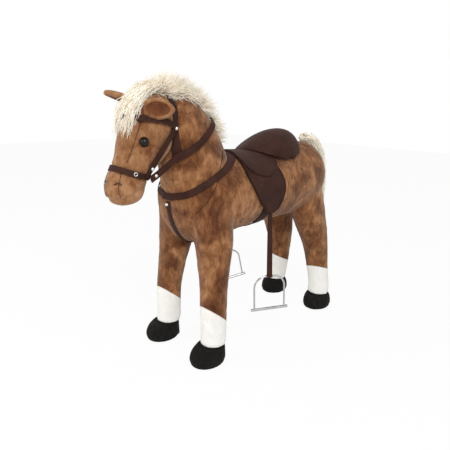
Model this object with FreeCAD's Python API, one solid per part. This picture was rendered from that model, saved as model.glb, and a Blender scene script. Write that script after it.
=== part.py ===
import FreeCAD, Part
import math
import os

# Standing plush ride-on horse: a steel tube frame inside stuffed plush, with a saddle, a bridle,
# a breast collar and two wire stirrups on straps.
# Millimetres. +X is the way the horse faces, +Y is its left side, +Z is up.
# The soles stand on Z = 0. Sketch coordinates put X = 0 midway between the hooves, and every
# piece is moved at the end so that the origin is the bottom centre of the whole horse.

V = FreeCAD.Vector
UP = V(0, 0, 1)
LEFT = V(0, 1, 0)
FORWARD = V(1, 0, 0)

# ---- driving dimensions -------------------------------------------------------------------
belly_height = 333.0          # floor to the underside of the barrel
barrel_depth = 200.0          # height of the barrel from belly to back
barrel_half_width = 112.0     # half the width of the barrel
chest_x = 310.0               # foremost point of the chest
rump_x = -294.0               # rearmost point of the rump
front_leg_x = 232.0           # front leg centre line
rear_leg_x = -258.0           # rear leg centre line
front_leg_y = 82.0            # front leg tube, half the spacing
rear_leg_y = 84.0             # rear leg tube, half the spacing
ankle_radius = 35.0           # leg radius just above the hoof
hoof_height = 47.0
hoof_half_length = 51.0
hoof_half_width = 42.0
front_toe = 18.0              # hoof centre ahead of the leg centre, front
rear_toe = 4.0                # hoof centre ahead of the leg centre, rear
front_sock_height = 127.0     # sock top at the leg centre, front
rear_sock_height = 133.0      # sock top at the leg centre, rear
front_sock_slope = 0.82       # rise of the sock top per unit forward, front
rear_sock_slope = 0.40        # the same, rear
sock_flare = 0.18             # rise of a rear sock top per unit outward

plush = 3.0                   # thickness of the backed plush cover
gap = 0.4                     # clearance between soft pieces
metal_gap = 0.3               # clearance round the frame inside the stuffing

tube_radius = 11.0
tube_wall = 1.5
tube_bend = 34.0              # centre-line bend radius of the leg frames
cross_height = 447.0          # centre line of the cross tubes
lean_start = 170.0            # the leg tubes are plumb up to here
rear_lean_ahead = 24.0        # the rear frame's top lies ahead of its feet by this much
rear_lean_in = 26.0           # and each side inboard of its foot by this much
foot_plate_radius = 20.0
foot_plate_thickness = 5.0
foot_plate_base = 6.0         # stuffing under the foot plate
bolt_radius = 3.0
bolt_clearance = 0.2
bolt_head_radius = 5.5
bolt_head_height = 4.0
board_length = 190.0
board_half_width = 58.0
board_thickness = 9.0
board_bolt_spacing = 120.0
post_flange = (64.0, 40.0, 4.0)
post_bolt_spacing = 48.0

strap_width = 16.0            # headpiece, cheek straps
collar_width = 13.0           # noseband, breast collar and breast strap
strap_thickness = 2.0
rein_width = 16.0
girth_width = 34.0
flap_thickness = 3.0
stud_radius = 4.5
eye_radius = 9.5

saddle_x = 40.0               # where the rider sits
stirrup_x = 49.0              # pivot of the stirrup straps
stirrup_drop = 205.0          # strap rivet down to the stirrup's top wire
rivet_radius = 4.0
rivet_clearance = 0.05
leather_width = 16.0
leather_thickness = 2.2
leather_twist = 32.0          # the strap's lower end is turned this far, degrees
left_swing = 3.5              # the left stirrup hangs this far back of plumb, degrees
right_swing = 16.0            # the right stirrup hangs this far back of plumb, degrees
wire_radius = 2.5
wire_clearance = 0.08
loop_wall = 2.2
iron_height = 102.0           # tread centre to top wire centre
iron_half_shoulder = 45.0
iron_half_top = 11.0
tread_radius = 4.2
tread_half_length = 55.0

# ---- places that follow from them ----------------------------------------------------------
mid_height = belly_height + barrel_depth / 2
half_depth = barrel_depth / 2
back_height = belly_height + barrel_depth
spine_height = cross_height + 2 * tube_radius + metal_gap
board_base = spine_height + tube_radius + metal_gap
sides = {"left": 1, "right": -1}
far = 600.0                   # longer than the horse is wide or tall, for cutting blocks
ring_points = 10              # points that shape each stuffed cross-section


# ---- shape helpers -------------------------------------------------------------------------
def joined(shapes):
    """One shape from several."""
    first = shapes[0]
    return first.multiFuse(shapes[1:]) if len(shapes) > 1 else first


def without(shape, tools):
    """The shape with each tool cut away."""
    for tool in tools:
        shape = shape.cut(tool)
    return shape


def biggest(shape):
    """The largest solid of a cut shape, without its offcuts."""
    return max(shape.Solids, key=lambda solid: solid.Volume)


def ring(centre, along, across, half_along, half_across):
    """Closed smooth ellipse round a centre, always started on the same side."""
    points = []
    for i in range(ring_points):
        turn = 2 * math.pi * i / ring_points
        point = along * (half_along * math.cos(turn)) + across * (half_across * math.sin(turn))
        points.append(centre + point)
    curve = Part.BSplineCurve()
    curve.interpolate(points, PeriodicFlag=True, Parameters=[float(i) for i in range(ring_points + 1)])
    return Part.Wire(curve.toShape())


def stuffed(sections, grow):
    """Smooth solid through elliptic sections (centre, along, half along, half across)."""
    rings = []
    last = len(sections) - 1
    for i, (centre, along, half_along, half_across) in enumerate(sections):
        normal = along.cross(LEFT)
        if normal.dot(sections[last][0] - sections[0][0]) < 0:
            normal = -normal
        shift = {0: -grow, last: grow}.get(i, 0.0)
        place = centre + normal * shift
        rings.append(ring(place, along, LEFT, half_along + grow, half_across + grow))
    return Part.makeLoft(rings, True, False, False, 3)


def tube(points, radius, bend):
    """Round bar along straight runs with bends of one radius."""
    edges = []
    start = points[0]
    for i in range(1, len(points) - 1):
        before = (points[i - 1] - points[i]).normalize()
        after = (points[i + 1] - points[i]).normalize()
        half_turn = before.getAngle(after) / 2
        leg = bend / math.tan(half_turn)
        enter = points[i] + before * leg
        leave = points[i] + after * leg
        middle = (before + after).normalize()
        crown = points[i] + middle * (bend / math.sin(half_turn) - bend)
        edges.append(Part.LineSegment(start, enter).toShape())
        edges.append(Part.Arc(enter, crown, leave).toShape())
        start = leave
    edges.append(Part.LineSegment(start, points[-1]).toShape())
    profile = Part.Wire(Part.makeCircle(radius, points[0], points[1] - points[0]))
    return Part.Wire(edges).makePipeShell([profile], True, False)


def ribbon_face(points, width):
    """Flat band in the XZ plane that follows a smooth line through (x, z) points."""
    centre = [V(x, 0, z) for x, z in points]
    line = Part.BSplineCurve()
    line.interpolate(centre)
    borders = []
    for side in (1, -1):
        border = []
        for point in centre:
            tangent = line.tangent(line.parameter(point))[0]
            border.append(point + tangent.cross(LEFT) * (side * width / 2))
        borders.append(border)
    upper = Part.BSplineCurve()
    upper.interpolate(borders[0])
    lower = Part.BSplineCurve()
    lower.interpolate(borders[1])
    outline = [
        upper.toShape(),
        Part.LineSegment(borders[0][-1], borders[1][-1]).toShape(),
        lower.toShape(),
        Part.LineSegment(borders[1][0], borders[0][0]).toShape(),
    ]
    return Part.Face(Part.Wire(Part.__sortEdges__(outline)))


def across_body(face, inner, outer):
    """Prism of a face in the XZ plane, between two distances to the left (or right, if negative)."""
    moved = face.copy()
    moved.translate(LEFT * inner)
    return moved.extrude(LEFT * (outer - inner))


def smooth_face(points):
    """Face in the XZ plane inside a closed smooth curve through (x, z) points."""
    curve = Part.BSplineCurve()
    curve.interpolate([V(x, 0, z) for x, z in points], PeriodicFlag=True)
    return Part.Face(Part.Wire(curve.toShape()))


def side_surface(shape, x, z, side):
    """Outermost point of a shape on the line across the body at (x, z)."""
    probe = Part.makeLine(V(x, side * far, z), V(x, 0, z))
    hit = probe.common(shape)
    return max((vertex.Point for vertex in hit.Vertexes), key=lambda point: side * point.y)


def hexagon(place, height):
    """Hexagonal block of a bolt head or a nut, from a place up or down."""
    corners = []
    for i in range(7):
        turn = math.radians(60 * i)
        corners.append(place + V(bolt_head_radius * math.cos(turn), bolt_head_radius * math.sin(turn), 0))
    return Part.Face(Part.makePolygon(corners)).extrude(V(0, 0, height))


def bolt(place, length):
    """Hexagon-headed bolt whose head sits on a place and whose shank points down."""
    shank = Part.makeCylinder(bolt_radius, length, place, -UP)
    return shank.fuse(hexagon(place, bolt_head_height))


def nut(place):
    """Hexagon nut under a place, round a vertical bolt."""
    body = hexagon(place, -bolt_head_height)
    bore = Part.makeCylinder(bolt_radius + bolt_clearance, bolt_head_height, place, -UP)
    return body.cut(bore)


parts = {}

# ---- stuffed forms: barrel, neck, head and legs ----------------------------------------------
# Each form is a function of grow, so that covers, stuffing and straps share one shape.
# Barrel sections: place along the body from rump (0) to chest (1), centre above mid height,
# half height and half width as shares of the barrel's own.
barrel_profile = [
    (0.000, 0.10, 0.14, 0.14),
    (0.016, 0.12, 0.50, 0.46),
    (0.060, 0.12, 0.87, 0.74),
    (0.130, 0.08, 1.07, 0.93),
    (0.250, -0.01, 1.06, 1.00),
    (0.430, -0.06, 1.03, 1.00),
    (0.600, -0.07, 1.045, 1.00),
    (0.770, -0.09, 1.12, 0.98),
    (0.885, -0.13, 1.12, 0.86),
    (0.955, -0.10, 0.83, 0.66),
    (0.988, -0.04, 0.46, 0.40),
    (1.000, -0.02, 0.14, 0.14),
]


def barrel(grow):
    sections = []
    for share, rise, height, width in barrel_profile:
        centre = V(rump_x + share * (chest_x - rump_x), 0, mid_height + rise * half_depth)
        sections.append((centre, UP, height * half_depth, width * barrel_half_width))
    return stuffed(sections, grow)


# Neck sections: centre ahead of and above the neck root, lean of the section, half depth, half width.
neck_root = V(chest_x - 88, 0, mid_height + 48)
neck_profile = [
    (-18.0, -50.0, 20.0, 88.0, 74.0),
    (-3.0, 0.0, 26.0, 99.0, 78.0),
    (18.0, 52.0, 30.0, 94.0, 70.0),
    (42.0, 104.0, 37.0, 82.0, 61.0),
    (70.0, 144.0, 47.0, 66.0, 53.0),
    (96.0, 166.0, 60.0, 44.0, 42.0),
]


def neck(grow):
    sections = []
    for ahead, above, lean, half_length, half_width in neck_profile:
        along = V(math.cos(math.radians(lean)), 0, -math.sin(math.radians(lean)))
        centre = neck_root + V(ahead, 0, above)
        sections.append((centre, along, half_length, half_width))
    return stuffed(sections, grow)


# Head sections, level slices from chin to poll: height above the chin, centre and half length
# along X measured from the neck root, half width.
chin_height = neck_root.z - 46
head_profile = [
    (0.0, 212.0, 13.0, 12.0),
    (8.0, 212.0, 32.0, 31.0),
    (26.0, 211.0, 44.0, 43.0),
    (50.0, 207.0, 47.0, 46.0),
    (76.0, 191.0, 52.0, 45.0),
    (104.0, 167.0, 64.0, 47.0),
    (136.0, 151.0, 72.0, 52.0),
    (170.0, 141.0, 73.0, 56.0),
    (204.0, 135.0, 67.0, 53.0),
    (230.0, 128.0, 49.0, 40.0),
    (244.0, 124.0, 18.0, 16.0),
]


def head(grow):
    sections = []
    for above, ahead, half_length, half_width in head_profile:
        centre = V(neck_root.x + ahead, 0, chin_height + above)
        sections.append((centre, FORWARD, half_length, half_width))
    return stuffed(sections, grow)


# Leg sections: height, centre ahead of the leg's own line, centre out from the tube, half length,
# half width. Heights above the ankle stretch with the belly height.
front_leg_profile = [
    (0.130, 8.0, 13.0, 0.0, 0.0),
    (0.300, 4.0, 11.0, -1.0, -1.0),
    (0.520, 3.0, 8.0, 1.0, 1.0),
    (0.700, -3.0, 2.0, 4.0, 5.0),
    (0.860, -8.0, -5.0, 9.0, 13.0),
    (1.020, -12.0, -12.0, 18.0, 15.0),
    (1.200, -8.0, -24.0, 28.0, 10.0),
    (1.340, -2.0, -42.0, 24.0, 0.0),
]
rear_leg_profile = [
    (0.130, 0.0, 8.0, 0.0, 0.0),
    (0.300, -3.0, 2.0, -1.0, -1.0),
    (0.460, 1.0, -5.0, 1.0, 1.0),
    (0.640, 12.0, -10.0, 9.0, 5.0),
    (0.820, 31.0, -15.0, 22.0, 9.0),
    (1.000, 52.0, -21.0, 35.0, 11.0),
    (1.160, 64.0, -28.0, 41.0, 9.0),
    (1.320, 68.0, -42.0, 36.0, 0.0),
]
leg_plans = {
    "front": (front_leg_x, front_leg_y, front_leg_profile, front_toe, front_sock_height, front_sock_slope),
    "rear": (rear_leg_x, rear_leg_y, rear_leg_profile, rear_toe, rear_sock_height, rear_sock_slope),
}


def leg(end, side, grow):
    line_x, line_y, profile = leg_plans[end][:3]
    sections = []
    for share, ahead, out, longer, wider in profile:
        centre = V(line_x + ahead, side * (line_y + out), share * belly_height)
        sections.append((centre, FORWARD, ankle_radius + longer, ankle_radius + wider))
    return stuffed(sections, grow)


made = {}


def form(name, grow):
    """Barrel, neck, head or leg at one growth, made once."""
    key = (name, round(grow, 3))
    if key not in made:
        if name in ("barrel", "neck", "head"):
            made[key] = {"barrel": barrel, "neck": neck, "head": head}[name](grow)
        else:
            end, side = name.split("_")
            made[key] = leg(end, sides[side], grow)
    return made[key]


leg_names = [end + "_" + side for end in ("front", "rear") for side in sides]

# ---- steel frame ------------------------------------------------------------------------------
tube_foot = foot_plate_base + foot_plate_thickness + metal_gap


frame_tops = {
    "front": (front_leg_x, front_leg_y),
    "rear": (rear_leg_x + rear_lean_ahead, rear_leg_y - rear_lean_in),
}


def leg_frame(end, radius):
    line_x, line_y = leg_plans[end][:2]
    top_x, top_y = frame_tops[end]
    points = [V(line_x, line_y, tube_foot), V(top_x, top_y, cross_height)]
    if top_x != line_x:
        points.insert(1, V(line_x, line_y, lean_start))
    points += [V(point.x, -point.y, point.z) for point in reversed(points)]
    return tube(points, radius, tube_bend)


spine_overhang = 21.0         # spine tube beyond the leg frames
post_setback = 52.0           # neck post behind the front leg frame
spine_start = frame_tops["rear"][0] - spine_overhang
spine_end = frame_tops["front"][0] + spine_overhang
post_x = front_leg_x - post_setback
post_foot = V(post_x, 0, spine_height + tube_radius + metal_gap)
post_lean = V(0.52, 0, 0.85).normalize()
post_length = 176.0


def spine(radius):
    return Part.makeCylinder(radius, spine_end - spine_start, V(spine_start, 0, spine_height), FORWARD)


def post(radius, extra):
    flange_length, flange_width, flange_thickness = post_flange
    flange = Part.makeBox(
        flange_length + 2 * extra, flange_width + 2 * extra, flange_thickness + 2 * extra,
        post_foot - V(flange_length / 2 + extra, flange_width / 2 + extra, extra))
    stem = Part.makeCylinder(radius, post_length + extra, post_foot, post_lean)
    below = Part.makeBox(far, far, far, post_foot - V(far / 2, far / 2, far))
    return stem.cut(below).fuse(flange)


def board(extra):
    corner = V(saddle_x - board_length / 2 - extra, -board_half_width - extra, board_base - extra)
    return Part.makeBox(
        board_length + 2 * extra, 2 * (board_half_width + extra), board_thickness + 2 * extra, corner)


# Bolts: top face of what each one clamps, and the lowest face it comes out of.
board_top = board_base + board_thickness
flange_top = post_foot.z + post_flange[2]
spine_top = spine_height + tube_radius
cross_bottom = cross_height - tube_radius
spine_bottom = spine_height - tube_radius
bolt_places = [
    (frame_tops["rear"][0], spine_top, cross_bottom),
    (frame_tops["front"][0], spine_top, cross_bottom),
    (saddle_x - board_bolt_spacing / 2, board_top, spine_bottom),
    (saddle_x + board_bolt_spacing / 2, board_top, spine_bottom),
    (post_x - post_bolt_spacing / 2, flange_top, spine_bottom),
    (post_x + post_bolt_spacing / 2, flange_top, spine_bottom),
]
bolt_tail = bolt_head_height + 3.0
bolts = []
nuts = []
bolt_holes = []
bolt_spaces = []
for x, top, bottom in bolt_places:
    bolts.append(bolt(V(x, 0, top), top - bottom + bolt_tail))
    nuts.append(nut(V(x, 0, bottom)))
    low = bottom - bolt_tail - metal_gap
    high = top + bolt_head_height + metal_gap
    hole_radius = bolt_radius + bolt_clearance
    bolt_holes.append(Part.makeCylinder(hole_radius, top - bottom, V(x, 0, bottom)))
    bolt_spaces.append(Part.makeCylinder(bolt_head_radius + metal_gap, high - low, V(x, 0, low)))

foot_plates = []
foot_plate_spaces = []
for name in leg_names:
    end, side = name.split("_")
    line_x, line_y = leg_plans[end][:2]
    foot = V(line_x, sides[side] * line_y, foot_plate_base)
    foot_plates.append(Part.makeCylinder(foot_plate_radius, foot_plate_thickness, foot))
    foot_plate_spaces.append(Part.makeCylinder(
        foot_plate_radius + metal_gap, foot_plate_thickness + 2 * metal_gap, foot - UP * metal_gap))

for end in ("front", "rear"):
    solid_frame = leg_frame(end, tube_radius)
    hollow = solid_frame.cut(leg_frame(end, tube_radius - tube_wall))
    parts[end + "_leg_frame"] = without(hollow, bolt_holes)
spine_bore = Part.makeCylinder(
    tube_radius - tube_wall, spine_end - spine_start, V(spine_start, 0, spine_height), FORWARD)
parts["spine_tube"] = without(spine(tube_radius).cut(spine_bore), bolt_holes)
post_bore = Part.makeCylinder(
    tube_radius - tube_wall, post_length, post_foot + post_lean * (post_flange[2] + tube_radius), post_lean)
parts["neck_post"] = without(post(tube_radius, 0.0).cut(post_bore), bolt_holes)
parts["seat_board"] = without(board(0.0), bolt_holes)
parts["frame_bolts"] = Part.makeCompound(bolts)
parts["frame_nuts"] = Part.makeCompound(nuts)
parts["foot_plates"] = Part.makeCompound(foot_plates)

frame_spaces = [
    leg_frame("front", tube_radius + metal_gap), leg_frame("rear", tube_radius + metal_gap),
    spine(tube_radius + metal_gap), board(metal_gap), post(tube_radius + metal_gap, metal_gap),
] + bolt_spaces
leg_spaces = {"front": frame_spaces[0], "rear": frame_spaces[1]}
post_space = frame_spaces[4]

# ---- hooves -----------------------------------------------------------------------------------
# Height share, centre ahead of the leg centre as a share of the toe, half length and half width
# as shares of the hoof's own.
hoof_profile = [
    (0.00, 1.00, 0.84, 0.82),
    (0.07, 1.00, 0.93, 0.92),
    (0.20, 1.00, 0.99, 0.99),
    (0.45, 1.00, 1.00, 1.00),
    (0.72, 0.85, 0.93, 0.96),
    (0.92, 0.50, 0.80, 0.89),
    (1.00, 0.35, 0.74, 0.86),
]


def hoof(end, side):
    line_x, line_y, profile, toe = leg_plans[end][:4]
    ankle_ahead = profile[0][1]
    ankle_out = profile[0][2]
    sections = []
    for share, toe_share, length, width in hoof_profile:
        centre = V(line_x + ankle_ahead + toe * toe_share, side * (line_y + ankle_out), share * hoof_height)
        sections.append((centre, FORWARD, length * hoof_half_length, width * hoof_half_width))
    return stuffed(sections, 0.0)


# ---- legs: stuffing, plush cover and white sock -------------------------------------------------
for name in leg_names:
    end, side = name.split("_")
    line_x, line_y = leg_plans[end][:2]
    sock_height, sock_slope = leg_plans[end][4:]
    space = leg_spaces[end]
    outer = form(name, 0.0)
    inner = form(name, -plush)
    core = form(name, -plush - gap)
    hoof_solid = hoof(end, sides[side])
    # The leg starts a clearance above the flat top of the hoof.
    corner = V(line_x - far / 2, sides[side] * line_y - far / 2, 0)
    above_hoof = Part.makeBox(far, far, far, corner + UP * (hoof_height + gap))
    tilt = math.degrees(math.atan(sock_slope))
    sock_zone = Part.makeBox(far, far, far, corner + UP * (sock_height - far))
    leg_zone = Part.makeBox(far, far, far, corner + UP * (sock_height + gap))
    for zone in (sock_zone, leg_zone):
        zone.rotate(V(line_x, 0, sock_height), LEFT, -tilt)
    if end == "rear":
        flare = sides[side] * math.degrees(math.atan(sock_flare))
        for zone in (sock_zone, leg_zone):
            zone.rotate(V(line_x, sides[side] * line_y, sock_height), FORWARD, flare)
    clear_barrel = form("barrel", gap)
    shell = outer.cut(inner).common(above_hoof)
    parts[name + "_sock"] = biggest(shell.common(sock_zone))
    parts[name + "_cover"] = biggest(shell.common(leg_zone).cut(clear_barrel).cut(space))
    parts[name + "_stuffing"] = biggest(core.common(above_hoof).cut(clear_barrel).cut(space))
    parts[name + "_hoof"] = biggest(without(hoof_solid, [space] + foot_plate_spaces))

# ---- barrel, neck and head ----------------------------------------------------------------------
barrel_shell = form("barrel", 0.0).cut(form("barrel", -plush))
leg_tubes = [leg_spaces["front"], leg_spaces["rear"]]
parts["barrel_cover"] = biggest(without(barrel_shell, leg_tubes + [post_space]))
parts["barrel_stuffing"] = biggest(without(form("barrel", -plush - gap), frame_spaces))

neck_tools = [form("barrel", gap), post_space, form("head", gap)]
parts["neck_cover"] = biggest(without(form("neck", 0.0).cut(form("neck", -plush)), neck_tools))
parts["neck_stuffing"] = biggest(without(form("neck", -plush - gap), neck_tools))
head_shell = form("head", 0.0).cut(form("head", -plush))
head_core = form("head", -plush - gap)

# ---- ears: stuffed cups that stand out sideways -------------------------------------------------
ear_half_width = 23.0
ear_half_thickness = 10.0
ear_profile = [(0.0, 0.70), (0.25, 0.96), (0.5, 1.0), (0.75, 0.78), (0.93, 0.38), (1.0, 0.10)]


def from_head(ahead, out, above):
    return V(neck_root.x + ahead, out, chin_height + above)


# The left ear flops back and shows its cup to the front, the right one stands out to the side:
# root, tip, and the direction across the ear.
ear_plans = {
    "left": (from_head(183, 42, 213), from_head(127, 79, 210), UP),
    "right": (from_head(154, -42, 226), from_head(202, -85, 245), V(0.6, 0.7, 0.25)),
}


def ear(side_name):
    root, tip, wide = ear_plans[side_name]
    line = tip - root
    direction = V(line.x, line.y, line.z).normalize()
    wide = (wide - direction * wide.dot(direction)).normalize()
    thick = direction.cross(wide)
    rings = []
    for share, size in ear_profile:
        half_thickness = ear_half_thickness * (0.4 + 0.6 * size)
        rings.append(ring(root + line * share, wide, thick, ear_half_width * size, half_thickness))
    return Part.makeLoft(rings, True, False, False, 3)


# ---- eyes: domes with a shank through the cover and a washer behind -----------------------------
eye_x = neck_root.x + 186
eye_z = chin_height + 142
eye_shank = 14.0
eye_shank_radius = 2.5
eye_inset = 3.0
eye_ahead = 0.55              # how far the eyes look forward, 1 is straight ahead
washer_depth = plush + gap + 3.0
washer_radius = 8.0
washer_thickness = 1.6
eyes = {}
eye_spaces = []
washers = []
for side_name, side in sides.items():
    seat = side_surface(form("head", 0.0), eye_x, eye_z, side)
    outward = V(eye_ahead, side * math.sqrt(1 - eye_ahead * eye_ahead), 0)
    dome = Part.makeSphere(eye_radius, seat)
    shank = Part.makeCylinder(eye_shank_radius, eye_shank + eye_inset, seat + outward * eye_inset, -outward)
    eyes[side_name] = dome.cut(form("head", gap)).fuse(shank)
    washer_place = seat - outward * washer_depth
    washer = Part.makeCylinder(washer_radius, washer_thickness, washer_place, -outward)
    bore = Part.makeCylinder(eye_shank_radius + bolt_clearance, washer_thickness, washer_place, -outward)
    washers.append(washer.cut(bore))
    eye_spaces.append(Part.makeCylinder(
        eye_shank_radius + bolt_clearance, eye_shank + eye_inset + 1, seat + outward * eye_inset, -outward))
    eye_spaces.append(Part.makeCylinder(
        washer_radius + metal_gap, washer_thickness + 2 * metal_gap,
        washer_place + outward * metal_gap, -outward))
parts["eye_left"] = biggest(eyes["left"])
parts["eye_right"] = biggest(eyes["right"])
parts["eye_washers"] = Part.makeCompound(washers)
parts["head_cover"] = biggest(without(head_shell, eye_spaces + [post_space]))
parts["head_stuffing"] = biggest(without(head_core, eye_spaces + [post_space]))

# ---- straps: bands that follow the stuffed forms in layers ------------------------------------
first_layer = gap
second_layer = first_layer + strap_thickness + gap
third_layer = second_layer + strap_thickness + gap
side_reach = {"left": (0.0, far), "right": (-far, 0.0), "both": (-far, far)}

# The reins pass straight from the jaw to the neck, over a hollow that this block stands for.
rein_bridge_x = (neck_root.x + 50, neck_root.x + 172)
rein_bridge_z = (chin_height + 46, chin_height + 134)
rein_bridge_half = 40.0


def rein_bridge(grow):
    half = rein_bridge_half + grow
    return Part.makeBox(
        rein_bridge_x[1] - rein_bridge_x[0], 2 * half, rein_bridge_z[1] - rein_bridge_z[0],
        V(rein_bridge_x[0], -half, rein_bridge_z[0]))


def carrier(name, grow):
    return rein_bridge(grow) if name == "bridge" else form(name, grow)


def band(carriers, layer, thickness, prism):
    """Band of one thickness that lies on several forms inside a prism."""
    outer = joined([carrier(name, layer + thickness).common(prism) for name in carriers])
    return without(outer, [carrier(name, layer) for name in carriers])


def ribbon(points, width, side):
    return across_body(ribbon_face(points, width), *side_reach[side])


def from_root(ahead, above):
    """(x, z) from the neck root across and the chin up, the head's own measures."""
    return (neck_root.x + ahead, chin_height + above)


# Noseband: a closed ring round the muzzle, lower at the jaw.
nose_line = [
    from_root(140, 48), from_root(175, 63), from_root(200, 70), from_root(222, 78), from_root(268, 98),
]
parts["noseband"] = biggest(
    band(["head"], first_layer, strap_thickness, ribbon(nose_line, collar_width, "both")))

# Headpiece: over the poll behind the ears and down both sides to the reins.
poll_line = [
    from_root(104, 272), from_root(103, 236), from_root(102, 200), from_root(101, 172),
    from_root(98, 148), from_root(93, 124), from_root(91, 100),
]
parts["headpiece"] = biggest(
    band(["head", "neck"], first_layer, strap_thickness, ribbon(poll_line, strap_width, "both")))

# Browband: from one side of the headpiece round the forehead to the other.
browband_width = 0.8 * strap_width
brow_line = [from_root(108, 174), from_root(130, 183), from_root(180, 192), from_root(240, 196)]
parts["browband"] = biggest(
    band(["head"], second_layer, strap_thickness, ribbon(brow_line, browband_width, "both")))

# Cheek straps: from the headpiece down to the noseband.
cheek_line = [
    from_root(103, 168), from_root(120, 152), from_root(136, 130), from_root(156, 102), from_root(180, 62),
]
brow_space = ribbon(brow_line, browband_width + 2 * gap, "both")
for side_name in sides:
    strap = band(["head"], second_layer, strap_thickness, ribbon(cheek_line, strap_width, side_name))
    parts["cheek_strap_" + side_name] = biggest(strap.cut(brow_space))

# Reins: one strap from the jaw over the crest of the neck to the other side.
rein_line = [
    from_root(172, 58), from_root(160, 64), from_root(103, 98), from_root(50, 130),
    from_root(16, 155), from_root(-20, 178), from_root(-60, 198), from_root(-90, 210),
]
rein_carriers = ["head", "neck", "bridge"]
parts["reins"] = biggest(
    band(rein_carriers, third_layer, strap_thickness, ribbon(rein_line, rein_width, "both")))

# Breast collar: a loop round the neck root that meets in a point on the chest, with a strap
# from that point down between the front legs to the girth.
collar_line = [
    (chest_x - 212, mid_height + 112), (chest_x - 180, mid_height + 97), (chest_x - 118, mid_height + 68),
    (chest_x - 68, mid_height + 46), (chest_x - 28, mid_height + 24), (chest_x + 20, mid_height - 8),
]
collar_prism = ribbon(collar_line, collar_width, "both")
parts["breast_collar"] = biggest(band(["barrel", "neck"], first_layer, strap_thickness, collar_prism))
girth_front = stirrup_x + girth_width / 2 + gap
strap_top = mid_height - 9
strap_zone = Part.makeBox(far, collar_width, far, V(girth_front, -collar_width / 2, strap_top - far))
collar_space = ribbon(collar_line, collar_width + 2 * gap, "both")
parts["breast_strap"] = biggest(
    band(["barrel"], first_layer, strap_thickness, strap_zone).cut(collar_space))
girth_top = mid_height + 16
girth_zone = Part.makeBox(girth_width, far, far, V(stirrup_x - girth_width / 2, -far / 2, girth_top - far))
parts["girth"] = biggest(band(["barrel"], first_layer, strap_thickness, girth_zone))

# Domed studs where the straps are joined, and an eyelet on each side of the noseband.
head_stud_places = [from_root(104, 169), from_root(168, 82)]
head_top = second_layer + strap_thickness + gap
studs = []
for x, z in head_stud_places:
    for side in sides.values():
        seat = side_surface(form("head", head_top), x, z, side)
        studs.append(Part.makeSphere(stud_radius, seat).cut(form("head", head_top)))
rein_stud_x, rein_stud_z = from_root(158, 66)
rein_top = third_layer + strap_thickness + gap
for side in sides.values():
    seat = V(rein_stud_x, side * (rein_bridge_half + rein_top), rein_stud_z)
    studs.append(Part.makeSphere(stud_radius, seat).cut(rein_bridge(rein_top)))
chest_seat_z = mid_height - 16
chest_top = first_layer + strap_thickness + gap
front_probe = Part.makeLine(V(chest_x + far, 0, chest_seat_z), V(0, 0, chest_seat_z))
chest_hit = front_probe.common(form("barrel", chest_top))
chest_seat = max((vertex.Point for vertex in chest_hit.Vertexes), key=lambda point: point.x)
studs.append(Part.makeSphere(stud_radius, chest_seat).cut(form("barrel", chest_top)))
parts["strap_studs"] = Part.makeCompound([biggest(stud) for stud in studs])
eyelets = []
eyelet_radius = 3.6
eyelet_wire = 1.0
eyelet_lift = 1.6
eyelet_x, eyelet_z = from_root(211, 74)
for side in sides.values():
    seat = side_surface(form("head", chest_top), eyelet_x, eyelet_z, side)
    axis = LEFT * side + FORWARD * 0.35
    eyelets.append(Part.makeTorus(eyelet_radius, eyelet_wire, seat + LEFT * (side * eyelet_lift), axis))
parts["noseband_eyelets"] = Part.makeCompound(eyelets)

# ---- saddle ------------------------------------------------------------------------------------
flap_lift = second_layer
skirt_lift = flap_lift + flap_thickness + gap
seat_lift = skirt_lift + strap_thickness + gap


saddle_block_length = 260.0
saddle_parting = 4.0          # half the space between the left and right sheets over the back


def saddle_base(grow):
    """Barrel with straight sides below its widest line, as a stiff flap hangs."""
    half = barrel_half_width + grow
    sides_block = Part.makeBox(
        saddle_block_length, 2 * half, half_depth, V(saddle_x - saddle_block_length / 2, -half, belly_height))
    return form("barrel", grow).fuse(sides_block)


def saddle_sheet(lift, thickness, outline, side):
    prism = across_body(smooth_face(outline), *side_reach[side])
    away = Part.makeBox(far, 2 * saddle_parting, far, V(saddle_x - far / 2, -saddle_parting, mid_height))
    sheet = saddle_base(lift + thickness).common(prism).cut(saddle_base(lift))
    return biggest(sheet.cut(away))


def from_saddle(ahead, above):
    return (saddle_x + ahead, mid_height + above)


flap_outline = [
    from_saddle(66, 118), from_saddle(86, 84), from_saddle(87, 42), from_saddle(62, -8),
    from_saddle(30, -46), from_saddle(4, -58), from_saddle(-22, -50), from_saddle(-43, -26),
    from_saddle(-53, 14),
    from_saddle(-44, 60), from_saddle(-32, 96), from_saddle(10, 128),
]
skirt_outline = [
    from_saddle(62, 112), from_saddle(84, 92), from_saddle(80, 70), from_saddle(42, 47),
    from_saddle(0, 43), from_saddle(-32, 58), from_saddle(-54, 82), from_saddle(-60, 104),
    from_saddle(-30, 124), from_saddle(10, 128),
]
for side_name in sides:
    parts["saddle_flap_" + side_name] = saddle_sheet(flap_lift, flap_thickness, flap_outline, side_name)
    parts["saddle_skirt_" + side_name] = saddle_sheet(skirt_lift, strap_thickness, skirt_outline, side_name)

# Seat sections: ahead of the saddle's middle, rise above the back, half width.
seat_profile = [
    (42.0, 3.0, 12.0),
    (30.0, 5.0, 28.0),
    (6.0, 12.0, 52.0),
    (-34.0, 28.0, 74.0),
    (-80.0, 46.0, 85.0),
    (-135.0, 58.0, 86.0),
    (-178.0, 54.0, 74.0),
    (-206.0, 38.0, 50.0),
    (-220.0, 22.0, 18.0),
]
seat_core = 40.0


def seat():
    sections = []
    for ahead, rise, half_width in seat_profile:
        centre = V(saddle_x + ahead, 0, back_height - seat_core)
        sections.append((centre, UP, seat_core + rise, half_width))
    return stuffed(sections, 0.0)


parts["saddle_seat"] = biggest(seat().cut(form("barrel", seat_lift)))

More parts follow.
